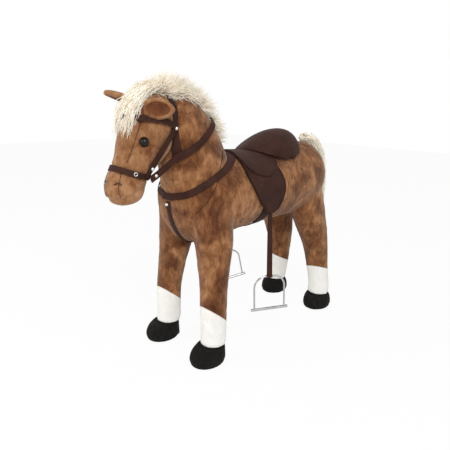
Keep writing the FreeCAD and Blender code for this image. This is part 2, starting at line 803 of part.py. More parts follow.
# ---- stirrups: strap on a rivet under the flap, twisted to a loop round the iron ------------------
rivet_z = mid_height - 40
rivet_flange = 0.8
rivet_head = 1.0
rivet_head_radius = 7.0
rivet_play = 0.2              # along the rivet, beside the strap
flap_inner = barrel_half_width + flap_lift
leather_y = flap_inner - rivet_flange - rivet_play / 2 - leather_thickness / 2
wire_z = rivet_z - stirrup_drop
loop_radius = wire_radius + wire_clearance + loop_wall
strap_straight = 26.0
twist_steps = 5


def stirrup_rivet(side):
    place = V(stirrup_x, side * flap_inner, rivet_z)
    inward = LEFT * -side
    reach = rivet_flange + leather_thickness + rivet_play
    flange = Part.makeCylinder(rivet_head_radius, rivet_flange, place, inward)
    shank = Part.makeCylinder(rivet_radius, reach + rivet_head, place, inward)
    head_disc = Part.makeCylinder(rivet_head_radius, rivet_head, place + inward * reach, inward)
    return joined([flange, shank, head_disc])


def strap_section(height, turn, y):
    across = V(math.cos(turn), -math.sin(turn), 0) * (leather_width / 2)
    thick = V(math.sin(turn), math.cos(turn), 0) * (leather_thickness / 2)
    centre = V(stirrup_x, y, height)
    corners = [across + thick, thick - across, -across - thick, across - thick]
    return Part.makePolygon([centre + corner for corner in corners + corners[:1]])


def wire_direction():
    turn = math.radians(leather_twist)
    return V(math.cos(turn), -math.sin(turn), 0)


def stirrup_leather(side):
    y = side * leather_y
    back = V(stirrup_x, y - leather_thickness / 2, rivet_z)
    top = Part.makeCylinder(leather_width / 2, leather_thickness, back, LEFT)
    upper = Part.makeBox(
        leather_width, leather_thickness, strap_straight, back - V(leather_width / 2, 0, strap_straight))
    twist_top = rivet_z - strap_straight
    twist_bottom = wire_z + loop_radius - 1.0
    sections = []
    for i in range(twist_steps + 1):
        share = i / twist_steps
        height = twist_top + share * (twist_bottom - twist_top)
        sections.append(strap_section(height, share * math.radians(leather_twist), y))
    lower = Part.makeLoft(sections, True, False, False, 3)
    direction = wire_direction()
    loop_start = V(stirrup_x, y, wire_z) - direction * (leather_width / 2)
    loop = Part.makeCylinder(loop_radius, leather_width, loop_start, direction)
    rivet_hole = Part.makeCylinder(
        rivet_radius + rivet_clearance, 3 * leather_thickness, back - LEFT * leather_thickness, LEFT)
    wire_hole = Part.makeCylinder(
        wire_radius + wire_clearance, 2 * leather_width,
        loop_start - direction * (leather_width / 2), direction)
    return joined([top, upper, lower, loop]).cut(rivet_hole).cut(wire_hole).removeSplitter()


def stirrup_iron(side):
    origin = V(stirrup_x, side * leather_y, wire_z)
    direction = wire_direction()

    def at(along, down):
        return origin + direction * along - UP * down

    radius = iron_half_shoulder - iron_half_top
    corner = radius * (1 - math.sqrt(0.5))
    edges = [
        Part.LineSegment(at(-iron_half_shoulder, iron_height), at(-iron_half_shoulder, radius)).toShape(),
        Part.Arc(
            at(-iron_half_shoulder, radius), at(-iron_half_shoulder + corner, corner),
            at(-iron_half_top, 0)).toShape(),
        Part.LineSegment(at(-iron_half_top, 0), at(iron_half_top, 0)).toShape(),
        Part.Arc(
            at(iron_half_top, 0), at(iron_half_shoulder - corner, corner),
            at(iron_half_shoulder, radius)).toShape(),
        Part.LineSegment(at(iron_half_shoulder, radius), at(iron_half_shoulder, iron_height)).toShape(),
    ]
    profile = Part.Wire(Part.makeCircle(wire_radius, at(-iron_half_shoulder, iron_height), UP))
    bow = Part.Wire(edges).makePipeShell([profile], True, False)
    tread = Part.makeCylinder(
        tread_radius, 2 * tread_half_length, at(-tread_half_length, iron_height), direction)
    return bow.fuse(tread)


parts["stirrup_rivets"] = Part.makeCompound([stirrup_rivet(side) for side in sides.values()])
swings = {"left": left_swing, "right": right_swing}
for side_name, side in sides.items():
    rivet_place = V(stirrup_x, side * leather_y, rivet_z)
    for node, shape in (("stirrup_leather_", stirrup_leather(side)), ("stirrup_iron_", stirrup_iron(side))):
        shape.rotate(rivet_place, LEFT, swings[side_name])
        parts[node + side_name] = shape

# ---- long-pile mane, forelock and tail -----------------------------------------------------------
# Mane sections: from the neck root and the chin to the centre, direction of the pile in degrees
# from forward, half height, half width.
mane_profile = [
    (136.0, 252.0, 80.0, 18.0, 22.0),
    (108.0, 256.0, 92.0, 28.0, 31.0),
    (70.0, 248.0, 104.0, 30.0, 34.0),
    (30.0, 236.0, 116.0, 29.0, 33.0),
    (-4.0, 214.0, 130.0, 27.0, 30.0),
    (-32.0, 184.0, 142.0, 25.0, 26.0),
    (-58.0, 156.0, 144.0, 20.0, 21.0),
    (-78.0, 134.0, 138.0, 10.0, 11.0),
]
forelock_profile = [
    (142.0, 255.0, 78.0, 12.0, 19.0),
    (161.0, 245.0, 62.0, 13.0, 27.0),
    (181.0, 228.0, 44.0, 12.0, 32.0),
    (195.0, 206.0, 24.0, 11.0, 33.0),
    (204.0, 183.0, 10.0, 8.0, 29.0),
    (209.0, 165.0, 5.0, 5.0, 17.0),
]


def pile(profile):
    sections = []
    for ahead, above, direction, half_height, half_width in profile:
        x, z = from_root(ahead, above)
        along = V(math.cos(math.radians(direction)), 0, math.sin(math.radians(direction)))
        sections.append((V(x, 0, z), along, half_height, half_width))
    return stuffed(sections, 0.0)


headpiece_prism = ribbon(poll_line, strap_width + 2 * gap, "both")
headpiece_space = band(["head", "neck"], 0.0, second_layer, headpiece_prism)
browband_prism = ribbon(brow_line, browband_width + 2 * gap, "both")
browband_space = band(["head"], 0.0, third_layer, browband_prism)
rein_space = ribbon(rein_line, rein_width + 2 * gap, "both")
plush_forms = [form("head", gap), form("neck", gap)]
for side_name in sides:
    ear_shape = without(ear(side_name), plush_forms + [browband_space, headpiece_space])
    parts["ear_" + side_name] = biggest(ear_shape)

# Mane and forelock meet over the poll, a clearance apart.
parting_x = neck_root.x + 140
parting_z = chin_height + 150
mane_zone = Part.makeBox(far, far, far, V(parting_x - far, -far / 2, parting_z - far / 2))
forelock_zone = Part.makeBox(far, far, far, V(parting_x + gap, -far / 2, parting_z))
mane = without(pile(mane_profile), plush_forms + [headpiece_space, rein_space]).common(mane_zone)
mane_scrap = 4000.0           # offcuts of the mane below this volume are left out
parts["mane"] = Part.makeCompound([solid for solid in mane.Solids if solid.Volume > mane_scrap])
forelock = without(pile(forelock_profile), plush_forms + [headpiece_space, browband_space])
parts["forelock"] = biggest(forelock.common(forelock_zone))

# Tail sections: behind the rump, height from the back, half depth, half width.
tail_profile = [
    (32.0, 20.0, 8.0, 14.0),
    (20.0, 14.0, 18.0, 24.0),
    (-4.0, -10.0, 24.0, 32.0),
    (-18.0, -50.0, 24.0, 36.0),
    (-28.0, -130.0, 22.0, 37.0),
    (-34.0, -210.0, 19.0, 33.0),
    (-38.0, -280.0, 14.0, 24.0),
    (-40.0, -330.0, 7.0, 11.0),
]
tail_dock = V(rump_x + 26, 0, back_height + 16)
tail_sections = []
for ahead, above, half_thickness, half_width in tail_profile:
    tail_sections.append((V(rump_x + ahead, 0, back_height + above), FORWARD, half_thickness, half_width))
parts["tail"] = biggest(stuffed(tail_sections, 0.0).cut(form("barrel", gap)))

# ---- origin at the bottom centre, and files ------------------------------------------------------
overall = FreeCAD.BoundBox()
for shape in parts.values():
    overall.add(shape.optimalBoundingBox(False))
middle = V((overall.XMin + overall.XMax) / 2, (overall.YMin + overall.YMax) / 2, overall.ZMin)
os.makedirs("parts", exist_ok=True)
for node, shape in parts.items():
    shape.translate(-middle)
    shape.exportStep("parts/" + node + ".step")
    volume = sum(solid.Volume for solid in shape.Solids) / 1000
    print(node, len(shape.Solids), round(volume, 1), shape.isValid())
print("overall size", round(overall.XLength, 1), round(overall.YLength, 1), round(overall.ZLength, 1))
print("moved by", -middle)
print("stirrup rivet", V(stirrup_x, leather_y, rivet_z) - middle)
for side_name, side in sides.items():
    rivet_place = V(stirrup_x, side * leather_y, rivet_z)
    swing = FreeCAD.Rotation(LEFT, swings[side_name])
    wire_place = rivet_place - swing.multVec(UP * stirrup_drop)
    print(side_name + " wire", wire_place - middle, swing.multVec(wire_direction()))
print("tail dock", tail_dock - middle)
for end in ("front", "rear"):
    line_x, line_y, profile, toe = leg_plans[end][:4]
    print(end + " sole", V(line_x + profile[0][1] + toe, line_y + profile[0][2], 0) - middle)
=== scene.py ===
import math
import random

import bmesh
import bpy
from mathutils import Matrix, Vector, noise
from mathutils.bvhtree import BVHTree
from mathutils.kdtree import KDTree


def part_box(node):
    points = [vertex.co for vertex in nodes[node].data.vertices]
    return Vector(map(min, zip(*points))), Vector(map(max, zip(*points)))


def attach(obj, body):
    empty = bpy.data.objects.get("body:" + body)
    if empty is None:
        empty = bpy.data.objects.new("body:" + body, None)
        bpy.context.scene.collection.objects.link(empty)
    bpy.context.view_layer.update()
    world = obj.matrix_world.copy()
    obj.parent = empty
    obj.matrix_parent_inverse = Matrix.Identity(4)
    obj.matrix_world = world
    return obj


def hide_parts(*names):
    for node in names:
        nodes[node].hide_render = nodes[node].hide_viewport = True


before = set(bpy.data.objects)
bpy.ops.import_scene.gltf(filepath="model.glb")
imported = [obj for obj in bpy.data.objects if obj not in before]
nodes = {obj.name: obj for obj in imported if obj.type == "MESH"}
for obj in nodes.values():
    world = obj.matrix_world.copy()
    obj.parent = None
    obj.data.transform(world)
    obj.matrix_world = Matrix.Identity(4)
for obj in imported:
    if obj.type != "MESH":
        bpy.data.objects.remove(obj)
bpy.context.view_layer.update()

# ---- plush hide -------------------------------------------------------------------------------
# The horse's hide is short caramel plush, cut in panels, sewn over the stuffing and closed at the
# seams. Head, trunk and upper legs are skins drawn over the frame's covers and stuffing.
leg_names = ["front_left", "front_right", "rear_left", "rear_right"]
swell = 0.0005                # joins covers and stuffing across their clearance


def new_node(tree, kind, values=None, **settings):
    """A shader node with its settings and its unlinked inputs filled in."""
    made = tree.nodes.new(kind)
    for name, value in settings.items():
        setattr(made, name, value)
    for name, value in (values or {}).items():
        made.inputs[name].default_value = value
    return made


def colour_bands(tree, factor, stops):
    """Colours along a factor: a list of (place, colour)."""
    ramp = new_node(tree, "ShaderNodeValToRGB")
    while len(ramp.color_ramp.elements) < len(stops):
        ramp.color_ramp.elements.new(0.5)
    for element, (place, colour) in zip(ramp.color_ramp.elements, stops):
        element.position = place
        element.color = (*colour, 1.0)
    tree.links.new(factor, ramp.inputs["Fac"])
    return ramp.outputs["Color"]


def speckle(tree, place, scale, detail=3.0, roughness=0.5, distortion=0.0):
    """Noise over the piece's own coordinates, or over a stretched copy of them."""
    cloud = new_node(tree, "ShaderNodeTexNoise", {
        "Scale": scale, "Detail": detail, "Roughness": roughness, "Distortion": distortion})
    tree.links.new(place, cloud.inputs["Vector"])
    return cloud.outputs["Fac"]


def arithmetic(tree, operation, first, second):
    node = new_node(tree, "ShaderNodeMath", operation=operation)
    for socket, value in zip(node.inputs, (first, second)):
        if isinstance(value, (int, float)):
            socket.default_value = value
        else:
            tree.links.new(value, socket)
    return node.outputs[0]


def mixed(tree, factor, first, second, blend="MIX"):
    node = new_node(tree, "ShaderNodeMix", data_type="RGBA", blend_type=blend)
    for socket, value in ((node.inputs[0], factor), (node.inputs[6], first), (node.inputs[7], second)):
        if isinstance(value, (int, float)):
            socket.default_value = value
        elif isinstance(value, tuple):
            socket.default_value = (*value, 1.0)
        else:
            tree.links.new(value, socket)
    return node.outputs[2]


def start_material(name):
    material = bpy.data.materials.new(name)
    material.use_nodes = True
    tree = material.node_tree
    shader = tree.nodes["Principled BSDF"]
    place = new_node(tree, "ShaderNodeTexCoord").outputs["Object"]
    return material, tree, shader, place


def stretched(tree, place, scale):
    node = new_node(tree, "ShaderNodeMapping", {"Scale": scale})
    tree.links.new(place, node.inputs["Vector"])
    return node.outputs["Vector"]


def bumps(tree, shader, height, strength, distance):
    node = new_node(tree, "ShaderNodeBump", {"Strength": strength, "Distance": distance})
    tree.links.new(height, node.inputs["Height"])
    tree.links.new(node.outputs["Normal"], shader.inputs["Normal"])


def plush_material(name, stops, patch=11.0, fleck=70.0, pile=620.0, sheen=0.3, tint=(1.0, 0.85, 0.7),
                   pile_shade=0.75):
    """Short plush: broad crushed patches, smaller flecks that run downwards with the pile, and the pile
    itself, with painted shade where the pile is low.
    """
    material, tree, shader, place = start_material(name)
    broad = speckle(tree, place, patch, 5.0, 0.62, 0.9)
    down = stretched(tree, place, (1.0, 1.0, 0.45))
    flecks = speckle(tree, down, fleck, 5.0, 0.65, 0.6)
    hairs = speckle(tree, stretched(tree, place, (1.0, 1.0, 0.4)), pile, 2.0, 0.6)
    crush = arithmetic(tree, "ADD", arithmetic(tree, "MULTIPLY", broad, 0.62),
                       arithmetic(tree, "MULTIPLY", flecks, 0.38))
    colour = colour_bands(tree, crush, stops)
    # Painted shade: the colour darkens where the fine pile noise is low, as shade between the hairs would.
    # The mix argument sets how much.
    shade = colour_bands(tree, hairs, [(0.25, (0.62, 0.58, 0.55)), (0.75, (1.0, 1.0, 1.0))])
    colour = mixed(tree, pile_shade, colour, shade, "MULTIPLY")
    tree.links.new(colour, shader.inputs["Base Color"])
    rough = colour_bands(tree, flecks, [(0.3, (0.95, 0.95, 0.95)), (0.7, (0.78, 0.78, 0.78))])
    tree.links.new(rough, shader.inputs["Roughness"])
    shader.inputs["Specular IOR Level"].default_value = 0.15
    shader.inputs["Sheen Weight"].default_value = sheen
    shader.inputs["Sheen Roughness"].default_value = 0.45
    shader.inputs["Sheen Tint"].default_value = (*tint, 1.0)
    height = arithmetic(tree, "ADD", hairs, arithmetic(tree, "MULTIPLY", flecks, 1.6))
    bumps(tree, shader, height, 0.55, 0.0016)
    return material


hide_stops = [
    (0.32, (0.060, 0.017, 0.007)), (0.42, (0.130, 0.045, 0.016)),
    (0.50, (0.225, 0.090, 0.034)), (0.57, (0.345, 0.158, 0.066)), (0.68, (0.520, 0.285, 0.142)),
]
face_stops = [
    (0.30, (0.105, 0.034, 0.012)), (0.42, (0.210, 0.082, 0.031)),
    (0.52, (0.330, 0.155, 0.066)), (0.62, (0.450, 0.240, 0.120)), (0.74, (0.560, 0.335, 0.190)),
]
hide_plush = plush_material("hide_plush", hide_stops)
face_plush = plush_material("face_plush", face_stops, patch=16.0)


def merged_copy(names, grow):
    """One bmesh of merged copies of CAD pieces, each grown by a little."""
    whole = bmesh.new()
    for name in names:
        one = bmesh.new()
        one.from_mesh(nodes[name].data)
        bmesh.ops.remove_doubles(one, verts=one.verts, dist=1e-6)
        one.normal_update()
        for vertex in one.verts:
            vertex.co += vertex.normal * grow
        mesh = bpy.data.meshes.new(name + "_copy")
        one.to_mesh(mesh)
        one.free()
        whole.from_mesh(mesh)
        bpy.data.meshes.remove(mesh)
    return whole


def as_piece(shape, name, *materials):
    """An object in the scene made of a bmesh, smooth, at the origin."""
    mesh = bpy.data.meshes.new(name)
    shape.normal_update()
    shape.to_mesh(mesh)
    shape.free()
    for material in materials:
        mesh.materials.append(material)
    mesh.shade_smooth()
    piece = bpy.data.objects.new(name, mesh)
    bpy.context.collection.objects.link(piece)
    return piece


def outer_shell(shape):
    """Deletes every shell but the largest, so that no pocket stays inside a skin."""
    unseen = set(shape.verts)
    shells = []
    while unseen:
        edge = [unseen.pop()]
        shell = list(edge)
        while edge:
            for link in edge.pop().link_edges:
                for vertex in link.verts:
                    if vertex in unseen:
                        unseen.remove(vertex)
                        shell.append(vertex)
                        edge.append(vertex)
        shells.append(shell)
    largest = max(shells, key=len)
    for shell in shells:
        if shell is not largest:
            bmesh.ops.delete(shape, geom=shell, context="VERTS")


def smoothed(shape, rounds):
    for _ in range(rounds):
        bmesh.ops.smooth_vert(
            shape, verts=shape.verts, factor=0.5, use_axis_x=True, use_axis_y=True, use_axis_z=True)


def skin(names, voxel, rounds, grow=swell):
    """One closed, even, soft skin over several CAD pieces."""
    rough = as_piece(merged_copy(names, grow), names[0] + "_rough")
    remesh = rough.modifiers.new("skin", "REMESH")
    remesh.mode = "VOXEL"
    remesh.voxel_size = voxel
    evaluated = rough.evaluated_get(bpy.context.evaluated_depsgraph_get())
    mesh = bpy.data.meshes.new_from_object(evaluated)
    shape = bmesh.new()
    shape.from_mesh(mesh)
    bpy.data.objects.remove(rough)
    outer_shell(shape)
    smoothed(shape, rounds)
    shape.normal_update()
    for vertex in shape.verts:
        vertex.co -= vertex.normal * grow
    return shape


def soft_line(points, count=14):
    """Points along a smooth line through a few points."""
    places = [Vector(point) for point in points]
    ends = [2 * places[0] - places[1]] + places + [2 * places[-1] - places[-2]]
    line = []
    for i in range(1, len(ends) - 2):
        for j in range(count):
            t = j / count
            a, b, c, d = ends[i - 1:i + 3]
            line.append(0.5 * (2 * b + (c - a) * t + (2 * a - 5 * b + 4 * c - d) * t ** 2
                               + (3 * b - a - 3 * c + d) * t ** 3))
    return line + [places[-1]]


def both_sides(lines):
    """The lines, and the same ones on the other side of the horse."""
    return lines + [[(x, -y, z) for x, y, z in line] for line in lines]


def press(shape, points, width, depth):
    """Sinks a soft groove or dimple along points into a skin."""
    tree = KDTree(len(points))
    for i, point in enumerate(points):
        tree.insert(point, i)
    tree.balance()
    shape.normal_update()
    for vertex in shape.verts:
        away = tree.find(vertex.co)[2]
        if away < width:
            vertex.co -= vertex.normal * (depth * (1 - (away / width) ** 2) ** 2)


def ruffle(shape, size, height, seed):
    """Uneven stuffing and crushed pile."""
    shift = Vector((seed, 0, 0))
    for vertex in shape.verts:
        lift = noise.noise(vertex.co / size + shift) + 0.5 * noise.noise(vertex.co / (0.37 * size) + shift)
        vertex.co += vertex.normal * (lift * height)


def draped(line, tree, lift):
    """A smooth line laid on a skin."""
    laid = []
    for point in soft_line(line):
        place, normal = tree.find_nearest(point)[:2]
        laid.append(place + normal * lift)
    return laid


def piping(name, lines, radius, material, body="horse"):
    """Thin round piping or thread along lines, as one mesh."""
    curve = bpy.data.curves.new(name, "CURVE")
    curve.dimensions = "3D"
    curve.bevel_depth = radius
    curve.bevel_resolution = 2
    curve.use_fill_caps = True
    for line in lines:
        spline = curve.splines.new("POLY")
        spline.points.add(len(line) - 1)
        for knot, point in zip(spline.points, line):
            knot.co = (*point, 1.0)
    drawn = bpy.data.objects.new(name + "_line", curve)
    bpy.context.collection.objects.link(drawn)
    evaluated = drawn.evaluated_get(bpy.context.evaluated_depsgraph_get())
    shape = bmesh.new()
    shape.from_mesh(bpy.data.meshes.new_from_object(evaluated))
    bpy.data.objects.remove(drawn)
    piece = as_piece(shape, name, material)
    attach(piece, body)
    return piece


# Panel seams of the trunk: round the flank, in front of the shoulder and at the root of the neck.
flank_seam = [
    (-0.205, 0.060, 0.527), (-0.155, 0.086, 0.500), (-0.110, 0.107, 0.462), (-0.097, 0.112, 0.428),
    (-0.104, 0.104, 0.394), (-0.124, 0.086, 0.362),
]
shoulder_seam = [
    (0.116, 0.060, 0.545), (0.135, 0.072, 0.513), (0.158, 0.088, 0.480), (0.180, 0.092, 0.450),
    (0.200, 0.086, 0.424), (0.219, 0.072, 0.400),
]
trunk_seams = both_sides([flank_seam, shoulder_seam])
trunk_names = ["barrel_cover", "barrel_stuffing", "neck_cover", "neck_stuffing"]
for name in leg_names:
    trunk_names += [name + "_cover", name + "_stuffing", name + "_sock"]
trunk = skin(trunk_names, 0.0036, 10)
ruffle(trunk, 0.045, 0.0012, 3.0)
ruffle(trunk, 0.011, 0.0004, 9.0)
trunk_tree = BVHTree.FromBMesh(trunk)
seam_lines = [draped(line, trunk_tree, 0.0002) for line in trunk_seams]
press(trunk, [point for line in seam_lines for point in line], 0.008, 0.0016)

# Straps lie in the pile: the skin gives way under each of them.
def give_way(shape, names, reach, depth):
    strap_copy = merged_copy(names, 0.0)
    strap_tree = BVHTree.FromBMesh(strap_copy)
    strap_copy.free()
    for vertex in shape.verts:
        found = strap_tree.find_nearest(vertex.co, reach)
        if found[0] is not None:
            vertex.co -= vertex.normal * (depth * (1 - found[3] / reach))


strap_names = ["breast_collar", "breast_strap", "girth", "reins"]
give_way(trunk, strap_names + ["saddle_flap_left", "saddle_flap_right"], 0.007, 0.0024)

# ---- socks ------------------------------------------------------------------------------------
# Each leg ends in a white plush sock, sewn to the brown leg round a slanting seam. The skin is
# cut along that seam, so that sock and leg meet edge to edge.
sock_stops = [(0.30, (0.86, 0.84, 0.79)), (0.50, (0.93, 0.92, 0.88)), (0.72, (0.98, 0.97, 0.94))]
# The socks take less of the painted shade between the pile hairs.
sock_plush = plush_material(
    "sock_plush", sock_stops, fleck=90.0, sheen=0.2, tint=(1.0, 0.98, 0.95), pile_shade=0.3)
sock_height = {"front": 0.127, "rear": 0.133}
sock_slope = {"front": 0.82, "rear": 0.40}
sock_flare = {"front": 0.0, "rear": 0.18}
leg_line = {"front": (0.1666, 0.082), "rear": (-0.3234, 0.084)}
leg_reach = 0.12              # holds one leg, fore and aft of its line
leg_margin = 0.02             # above the top of the sock
seam_rows = []
for name in leg_names:
    end, side_name = name.split("_")
    side = 1 if side_name == "left" else -1
    line_x, line_y = leg_line[end]
    corner = Vector((line_x, side * line_y, sock_height[end]))
    across = Vector((-sock_slope[end], -side * sock_flare[end], 1.0)).normalized()
    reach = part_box(name + "_sock")[1][2] + leg_margin

    def near(co):
        return co.z < reach and side * co.y > 0 and abs(co.x - line_x) < leg_reach

    faces = [face for face in trunk.faces if near(face.calc_center_median())]
    geometry = set(faces)
    for face in faces:
        geometry.update(face.edges)
        geometry.update(face.verts)
    bmesh.ops.bisect_plane(trunk, geom=list(geometry), dist=1e-5, plane_co=corner, plane_no=across)
    lower = [face for face in trunk.faces
             if near(face.calc_center_median()) and (face.calc_center_median() - corner).dot(across) < 0]
    held = set(lower)
    rim = [edge for face in lower for edge in face.edges
           if any(other not in held for other in edge.link_faces)]
    ring = [edge.verts[0].co.copy() for edge in rim]
    middle = sum(ring, Vector()) / len(ring)
    ring.sort(key=lambda point: math.atan2(point.y - middle.y, point.x - middle.x))
    seam_rows.append(ring + ring[:1])
    sock = bmesh.new()
    twins = {}
    for face in lower:
        for vertex in face.verts:
            if vertex not in twins:
                twins[vertex] = sock.verts.new(vertex.co)
        sock.faces.new([twins[vertex] for vertex in face.verts])
    bmesh.ops.delete(trunk, geom=lower, context="FACES")
    bmesh.ops.holes_fill(sock, edges=[edge for edge in sock.edges if edge.is_boundary], sides=0)
    bmesh.ops.recalc_face_normals(sock, faces=sock.faces)
    ruffle(sock, 0.012, 0.0005, 5.0)
    piece = as_piece(sock, name + "_white_sock", sock_plush)
    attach(piece, "horse")
    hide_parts(name + "_sock")
bmesh.ops.holes_fill(trunk, edges=[edge for edge in trunk.edges if edge.is_boundary], sides=0)
hide = as_piece(trunk, "trunk_hide", hide_plush)
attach(hide, "horse")
for name in trunk_names:
    if not name.endswith("_sock"):
        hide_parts(name)

# ---- seam piping ------------------------------------------------------------------------------
# A fine pale edge of plush backing stands out of the flank seams and round the sock tops. The shoulder
# seams, and the cheek and muzzle seams of the head, instead get a thin dark line of painted shadow.
seam_stops = [(0.35, (0.34, 0.15, 0.06)), (0.65, (0.62, 0.37, 0.19))]
seam_cord = plush_material("seam_cord", seam_stops, fleck=300.0, pile=1500.0, sheen=0.1)
shadow_stops = [(0.35, (0.055, 0.016, 0.008)), (0.65, (0.115, 0.042, 0.018))]
seam_shadow = plush_material("seam_shadow", shadow_stops, fleck=300.0, pile=1500.0, sheen=0.1)
# Painted shadow: a thin dark line laid along the sunk shoulder seams.
piece = piping("shoulder_seam_shadow_lines", seam_lines[1::2], 0.0009, seam_shadow)
piece = piping("flank_seam_edges", seam_lines[0::2], 0.0009, seam_cord)
sock_edge_stops = [(0.35, (0.52, 0.42, 0.32)), (0.65, (0.76, 0.70, 0.62))]
sock_edge = plush_material("sock_edge", sock_edge_stops, fleck=300.0, pile=1500.0, sheen=0.1)
piece = piping("sock_seam_edges", seam_rows, 0.0007, sock_edge)

# ---- head -------------------------------------------------------------------------------------
# Stuffed head of the same plush in paler colours. A seam runs down each cheek, one through each stitched
# nostril to the corner of the mouth, and the mouth is a sewn fold.
head_names = ["head_cover", "head_stuffing"]
head = skin(head_names, 0.0026, 9)
ruffle(head, 0.035, 0.0009, 12.0)
ruffle(head, 0.009, 0.0003, 15.0)
cheek_seam = [(0.345, 0.040, 0.625), (0.356, 0.036, 0.590), (0.367, 0.030, 0.555), (0.376, 0.026, 0.532)]
muzzle_seam = [(0.388, 0.023, 0.510), (0.397, 0.027, 0.489), (0.400, 0.028, 0.474), (0.396, 0.029, 0.460)]
mouth_fold = [
    (0.398, 0.000, 0.456), (0.394, 0.016, 0.455), (0.385, 0.030, 0.457), (0.368, 0.040, 0.464),
    (0.352, 0.042, 0.474),
]
nostril = [(0.394, 0.029, 0.4855), (0.398, 0.0270, 0.4890), (0.402, 0.021, 0.4885), (0.404, 0.017, 0.4855)]
head_tree = BVHTree.FromBMesh(head)
thin_seams = [draped(line, head_tree, 0.0001) for line in both_sides([cheek_seam, muzzle_seam])]
mouth_lines = [draped(line, head_tree, 0.0) for line in both_sides([mouth_fold])]
nostril_lines = [draped(line, head_tree, 0.0) for line in both_sides([nostril])]
press(head, [point for line in thin_seams for point in line], 0.007, 0.0022)
press(head, [point for line in mouth_lines for point in line], 0.009, 0.0034)
press(head, [point for line in nostril_lines for point in line], 0.008, 0.0036)
bridle_names = ["noseband", "headpiece", "browband", "cheek_strap_left", "cheek_strap_right"]
give_way(head, bridle_names, 0.006, 0.002)
face_hide = as_piece(head, "head_hide", face_plush)
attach(face_hide, "horse")
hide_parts(*head_names)
# Painted shadow: a thin dark line laid along the sunk cheek and muzzle seams.
piece = piping("head_seam_shadow_lines", thin_seams, 0.0007, seam_shadow)
thread_stops = [(0.35, (0.055, 0.022, 0.012)), (0.65, (0.12, 0.05, 0.025))]
dark_thread = plush_material("dark_thread", thread_stops, fleck=400.0, pile=2500.0, sheen=0.0)
sunk = [[point - Vector((0.0018, 0, 0)) for point in line] for line in nostril_lines]
piece = piping("nostril_stitching", sunk, 0.0012, dark_thread)

# ---- ears -------------------------------------------------------------------------------------
# Two stuffed ears sewn to the poll. The front of each is a hollow cup lined with rust plush.
lining_stops = [(0.35, (0.085, 0.024, 0.010)), (0.50, (0.150, 0.048, 0.018)), (0.65, (0.230, 0.085, 0.034))]
ear_lining = plush_material("ear_lining", lining_stops, patch=30.0)
cup_depth = 0.0085
cup_edge = 0.80               # share of the ear that is hollow
cup_faces = {"left": Vector((0.55, 0.83, 0.0)), "right": Vector((0.55, -0.35, -0.75))}
for side_name, faces_to in cup_faces.items():
    node_name = "ear_" + side_name
    ear = skin([node_name], 0.0016, 6, 0.0)
    middle = sum((vertex.co for vertex in ear.verts), Vector()) / len(ear.verts)
    facing = faces_to.normalized()
    spans = [(vertex.co - middle) - facing * (vertex.co - middle).dot(facing) for vertex in ear.verts]
    along = max(spans, key=lambda span: span.length).normalized()
    beside = facing.cross(along)
    long_reach = sorted(abs(span.dot(along)) for span in spans)[int(0.97 * len(spans))]
    cross_reach = sorted(abs(span.dot(beside)) for span in spans)[int(0.93 * len(spans))]
    hollow = set()
    for vertex, span in zip(list(ear.verts), spans):
        share = math.hypot(span.dot(along) / long_reach, span.dot(beside) / cross_reach)
        if vertex.normal.dot(facing) > 0.05 and share < cup_edge:
            vertex.co -= facing * (cup_depth * (1 - (share / cup_edge) ** 2))
            hollow.add(vertex)
    smoothed(ear, 2)
    for face in ear.faces:
        face.material_index = 1 if all(vertex in hollow for vertex in face.verts) else 0
    piece = as_piece(ear, side_name + "_ear", face_plush, ear_lining)
    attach(piece, "horse")
    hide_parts(node_name)

# ---- hooves -----------------------------------------------------------------------------------
# Black velour hooves, flat on the sole and stuffed round the steel foot plate. A seam runs round
# just above the sole.
velour_stops = [
    (0.35, (0.004, 0.0035, 0.003)), (0.55, (0.009, 0.008, 0.007)), (0.75, (0.022, 0.020, 0.018)),
]
black_velour = plush_material(
    "black_velour", velour_stops, fleck=120.0, pile=1400.0, sheen=0.0)
sole_seam_height = 0.009
seam_band = 0.0012            # half the height of the seam's row of points
inner_radius = 0.03           # the steel foot plate's hollow lies inside this
for name in leg_names:
    node_name = name + "_hoof"
    low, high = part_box(node_name)
    hoof = skin([node_name], 0.0022, 4)
    for vertex in hoof.verts:
        vertex.co.z = max(vertex.co.z, 0.0)
    belt = [vertex.co.copy() for vertex in hoof.verts
            if abs(vertex.co.z - sole_seam_height) < seam_band and vertex.normal.z < 0.5]
    middle = ((low[0] + high[0]) / 2, (low[1] + high[1]) / 2)
    outer = [point for point in belt if math.dist(point.xy, middle) > inner_radius]
    press(hoof, outer, 0.0035, 0.0009)
    ruffle(hoof, 0.02, 0.0004, 21.0)
    for vertex in hoof.verts:
        vertex.co.z = max(vertex.co.z, 0.0)
    piece = as_piece(hoof, name + "_velour_hoof", black_velour)
    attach(piece, "horse")
    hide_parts(node_name)

# ---- leatherette ------------------------------------------------------------------------------
# Bridle, reins, collar, girth, stirrup straps and saddle are dark brown leatherette with a fine pebbled
# grain, a little lighter where it is handled, and with painted shade down in its creases.


